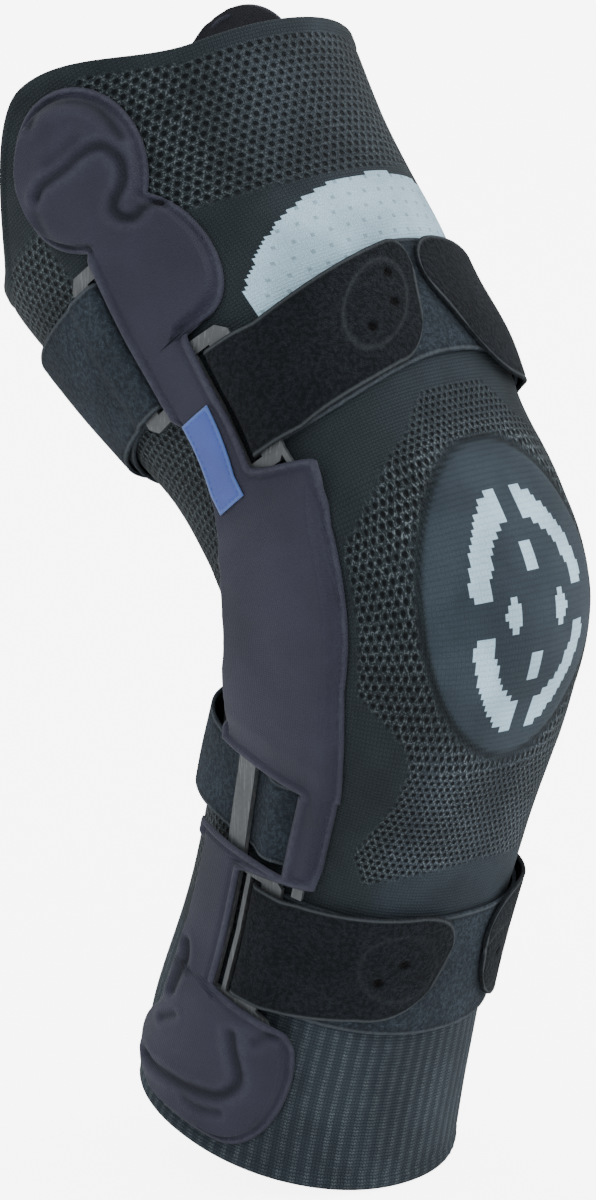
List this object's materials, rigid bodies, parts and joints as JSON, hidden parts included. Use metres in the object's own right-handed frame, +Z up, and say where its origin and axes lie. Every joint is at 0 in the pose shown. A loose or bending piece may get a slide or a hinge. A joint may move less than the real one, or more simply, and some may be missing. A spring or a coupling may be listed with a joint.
{
  "type": "hinged knee brace",
  "caption": "Knitted knee sleeve held bent, with covered hinged splints down both sides and fold-back straps round the thigh and calf.",
  "frame": {"origin": "middle of the knee, on the leg's line at the height of the kneecap", "axes": "+Z up, the kneecap faces -Y, the outer side with the label faces -X"},
  "size_m": [0.1674, 0.2445, 0.4194],
  "materials": {
    "knit": "matte",
    "cover": "matte",
    "strap": "matte",
    "splint": "satin",
    "label": "satin"
  },
  "bodies": {
    "root": {"knit_sleeve": "knit", "outer_thigh_arm": "splint", "outer_calf_arm": "splint", "outer_hinge": "splint", "outer_cover": "cover", "inner_thigh_arm": "splint", "inner_calf_arm": "splint", "inner_hinge": "splint", "inner_cover": "cover", "thigh_front_strap": "strap", "thigh_rear_strap": "strap", "calf_front_strap": "strap", "calf_rear_strap": "strap", "side_label": "label"}
  },
  "joints": []
}
